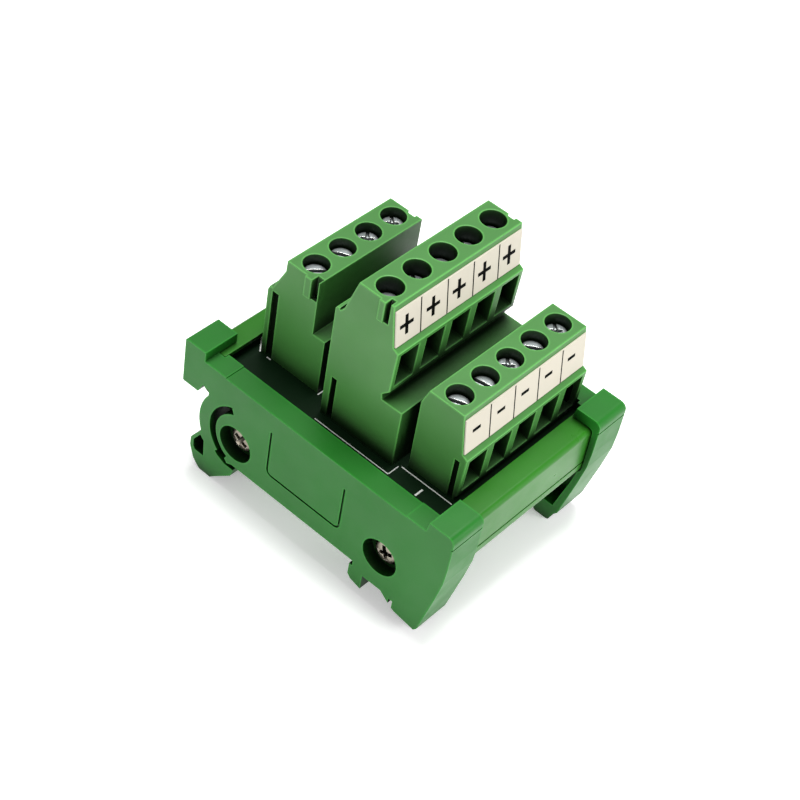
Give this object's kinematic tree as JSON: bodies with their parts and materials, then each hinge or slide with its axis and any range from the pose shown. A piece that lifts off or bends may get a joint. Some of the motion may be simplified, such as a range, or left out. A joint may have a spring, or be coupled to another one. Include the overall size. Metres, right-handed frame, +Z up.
{
  "type": "power distribution terminal block",
  "caption": "Rail-mounted power distribution block: a green carrier with a circuit board and three rows of screw terminals.",
  "frame": {"origin": "middle of the object's outer box at the underside of the feet", "axes": "+X along the terminal rows, -Y towards the low output row, +Z up away from the rail"},
  "size_m": [0.055, 0.0724, 0.0665],
  "materials": {
    "cover_green": "satin moulded plastic",
    "block_green": "satin moulded plastic",
    "profile_green": "smooth extruded plastic",
    "board": "glossy black solder mask with white outlines",
    "marker_cream": "printed matt strip",
    "bright_screw": "bright nickel plate",
    "terminal_screw": "zinc plated, lightly scratched",
    "clamp_metal": "nickel plated",
    "contact_metal": "tin plated"
  },
  "bodies": {
    "carrier": {"profile": "profile_green", "circuit_board": "board", "end_cover_left": "cover_green", "end_cover_right": "cover_green", "cover_screws_left": "bright_screw", "cover_screws_right": "bright_screw", "plus_housing": "block_green", "minus_housing": "block_green", "input_housing": "block_green", "plus_marker_strip": "marker_cream", "minus_marker_strip": "marker_cream", "plus_contacts": "contact_metal", "minus_contacts": "contact_metal", "input_contacts": "contact_metal"},
    "plus_screw_1": {"plus_screw_1": "terminal_screw"},
    "plus_clamp_1": {"plus_clamp_1": "clamp_metal"},
    "plus_screw_2": {"plus_screw_2": "terminal_screw"},
    "plus_clamp_2": {"plus_clamp_2": "clamp_metal"},
    "plus_screw_3": {"plus_screw_3": "terminal_screw"},
    "plus_clamp_3": {"plus_clamp_3": "clamp_metal"},
    "plus_screw_4": {"plus_screw_4": "terminal_screw"},
    "plus_clamp_4": {"plus_clamp_4": "clamp_metal"},
    "plus_screw_5": {"plus_screw_5": "terminal_screw"},
    "plus_clamp_5": {"plus_clamp_5": "clamp_metal"},
    "minus_screw_1": {"minus_screw_1": "terminal_screw"},
    "minus_clamp_1": {"minus_clamp_1": "clamp_metal"},
    "minus_screw_2": {"minus_screw_2": "terminal_screw"},
    "minus_clamp_2": {"minus_clamp_2": "clamp_metal"},
    "minus_screw_3": {"minus_screw_3": "terminal_screw"},
    "minus_clamp_3": {"minus_clamp_3": "clamp_metal"},
    "minus_screw_4": {"minus_screw_4": "terminal_screw"},
    "minus_clamp_4": {"minus_clamp_4": "clamp_metal"},
    "minus_screw_5": {"minus_screw_5": "terminal_screw"},
    "minus_clamp_5": {"minus_clamp_5": "clamp_metal"},
    "input_screw_1": {"input_screw_1": "terminal_screw"},
    "input_clamp_1": {"input_clamp_1": "clamp_metal"},
    "input_screw_2": {"input_screw_2": "terminal_screw"},
    "input_clamp_2": {"input_clamp_2": "clamp_metal"},
    "input_screw_3": {"input_screw_3": "terminal_screw"},
    "input_clamp_3": {"input_clamp_3": "clamp_metal"},
    "input_screw_4": {"input_screw_4": "terminal_screw"},
    "input_clamp_4": {"input_clamp_4": "clamp_metal"}
  },
  "joints": [
    {"name": "plus_screw_1_turn", "type": "hinge", "parent": "carrier", "child": "plus_screw_1", "pos_m": [-0.01359, -0.0016, 0.0665], "axis": [0, 0, 1], "range_deg": [-3000, 0]},
    {"name": "plus_clamp_1_rise", "type": "slide", "parent": "carrier", "child": "plus_clamp_1", "axis": [0, 0, 1], "range_m": [0, 0.005]},
    {"name": "plus_screw_2_turn", "type": "hinge", "parent": "carrier", "child": "plus_screw_2", "pos_m": [-0.00597, -0.0016, 0.0665], "axis": [0, 0, 1], "range_deg": [-3000, 0]},
    {"name": "plus_clamp_2_rise", "type": "slide", "parent": "carrier", "child": "plus_clamp_2", "axis": [0, 0, 1], "range_m": [0, 0.005]},
    {"name": "plus_screw_3_turn", "type": "hinge", "parent": "carrier", "child": "plus_screw_3", "pos_m": [0.00165, -0.0016, 0.0665], "axis": [0, 0, 1], "range_deg": [-3000, 0]},
    {"name": "plus_clamp_3_rise", "type": "slide", "parent": "carrier", "child": "plus_clamp_3", "axis": [0, 0, 1], "range_m": [0, 0.005]},
    {"name": "plus_screw_4_turn", "type": "hinge", "parent": "carrier", "child": "plus_screw_4", "pos_m": [0.00927, -0.0016, 0.0665], "axis": [0, 0, 1], "range_deg": [-3000, 0]},
    {"name": "plus_clamp_4_rise", "type": "slide", "parent": "carrier", "child": "plus_clamp_4", "axis": [0, 0, 1], "range_m": [0, 0.005]},
    {"name": "plus_screw_5_turn", "type": "hinge", "parent": "carrier", "child": "plus_screw_5", "pos_m": [0.01689, -0.0016, 0.0665], "axis": [0, 0, 1], "range_deg": [-3000, 0]},
    {"name": "plus_clamp_5_rise", "type": "slide", "parent": "carrier", "child": "plus_clamp_5", "axis": [0, 0, 1], "range_m": [0, 0.005]},
    {"name": "minus_screw_1_turn", "type": "hinge", "parent": "carrier", "child": "minus_screw_1", "pos_m": [-0.01119, -0.0202, 0.0504], "axis": [0, 0, 1], "range_deg": [-3000, 0]},
    {"name": "minus_clamp_1_rise", "type": "slide", "parent": "carrier", "child": "minus_clamp_1", "axis": [0, 0, 1], "range_m": [0, 0.005]},
    {"name": "minus_screw_2_turn", "type": "hinge", "parent": "carrier", "child": "minus_screw_2", "pos_m": [-0.00357, -0.0202, 0.0504], "axis": [0, 0, 1], "range_deg": [-3000, 0]},
    {"name": "minus_clamp_2_rise", "type": "slide", "parent": "carrier", "child": "minus_clamp_2", "axis": [0, 0, 1], "range_m": [0, 0.005]},
    {"name": "minus_screw_3_turn", "type": "hinge", "parent": "carrier", "child": "minus_screw_3", "pos_m": [0.00405, -0.0202, 0.0504], "axis": [0, 0, 1], "range_deg": [-3000, 0]},
    {"name": "minus_clamp_3_rise", "type": "slide", "parent": "carrier", "child": "minus_clamp_3", "axis": [0, 0, 1], "range_m": [0, 0.005]},
    {"name": "minus_screw_4_turn", "type": "hinge", "parent": "carrier", "child": "minus_screw_4", "pos_m": [0.01167, -0.0202, 0.0504], "axis": [0, 0, 1], "range_deg": [-3000, 0]},
    {"name": "minus_clamp_4_rise", "type": "slide", "parent": "carrier", "child": "minus_clamp_4", "axis": [0, 0, 1], "range_m": [0, 0.005]},
    {"name": "minus_screw_5_turn", "type": "hinge", "parent": "carrier", "child": "minus_screw_5", "pos_m": [0.01929, -0.0202, 0.0504], "axis": [0, 0, 1], "range_deg": [-3000, 0]},
    {"name": "minus_clamp_5_rise", "type": "slide", "parent": "carrier", "child": "minus_clamp_5", "axis": [0, 0, 1], "range_m": [0, 0.005]},
    {"name": "input_screw_1_turn", "type": "hinge", "parent": "carrier", "child": "input_screw_1", "pos_m": [-0.01019, 0.0192, 0.0558], "axis": [0, 0, 1], "range_deg": [-3000, 0]},
    {"name": "input_clamp_1_rise", "type": "slide", "parent": "carrier", "child": "input_clamp_1", "axis": [0, 0, 1], "range_m": [0, 0.005]},
    {"name": "input_screw_2_turn", "type": "hinge", "parent": "carrier", "child": "input_screw_2", "pos_m": [-0.00257, 0.0192, 0.0558], "axis": [0, 0, 1], "range_deg": [-3000, 0]},
    {"name": "input_clamp_2_rise", "type": "slide", "parent": "carrier", "child": "input_clamp_2", "axis": [0, 0, 1], "range_m": [0, 0.005]},
    {"name": "input_screw_3_turn", "type": "hinge", "parent": "carrier", "child": "input_screw_3", "pos_m": [0.00505, 0.0192, 0.0558], "axis": [0, 0, 1], "range_deg": [-3000, 0]},
    {"name": "input_clamp_3_rise", "type": "slide", "parent": "carrier", "child": "input_clamp_3", "axis": [0, 0, 1], "range_m": [0, 0.005]},
    {"name": "input_screw_4_turn", "type": "hinge", "parent": "carrier", "child": "input_screw_4", "pos_m": [0.01267, 0.0192, 0.0558], "axis": [0, 0, 1], "range_deg": [-3000, 0]},
    {"name": "input_clamp_4_rise", "type": "slide", "parent": "carrier", "child": "input_clamp_4", "axis": [0, 0, 1], "range_m": [0, 0.005]}
  ],
  "couplings": [
    {"joint": "plus_screw_1_turn", "follows": "plus_clamp_1_rise", "rad_per_m": -10472},
    {"joint": "plus_screw_2_turn", "follows": "plus_clamp_2_rise", "rad_per_m": -10472},
    {"joint": "plus_screw_3_turn", "follows": "plus_clamp_3_rise", "rad_per_m": -10472},
    {"joint": "plus_screw_4_turn", "follows": "plus_clamp_4_rise", "rad_per_m": -10472},
    {"joint": "plus_screw_5_turn", "follows": "plus_clamp_5_rise", "rad_per_m": -10472},
    {"joint": "minus_screw_1_turn", "follows": "minus_clamp_1_rise", "rad_per_m": -10472},
    {"joint": "minus_screw_2_turn", "follows": "minus_clamp_2_rise", "rad_per_m": -10472},
    {"joint": "minus_screw_3_turn", "follows": "minus_clamp_3_rise", "rad_per_m": -10472},
    {"joint": "minus_screw_4_turn", "follows": "minus_clamp_4_rise", "rad_per_m": -10472},
    {"joint": "minus_screw_5_turn", "follows": "minus_clamp_5_rise", "rad_per_m": -10472},
    {"joint": "input_screw_1_turn", "follows": "input_clamp_1_rise", "rad_per_m": -10472},
    {"joint": "input_screw_2_turn", "follows": "input_clamp_2_rise", "rad_per_m": -10472},
    {"joint": "input_screw_3_turn", "follows": "input_clamp_3_rise", "rad_per_m": -10472},
    {"joint": "input_screw_4_turn", "follows": "input_clamp_4_rise", "rad_per_m": -10472}
  ]
}
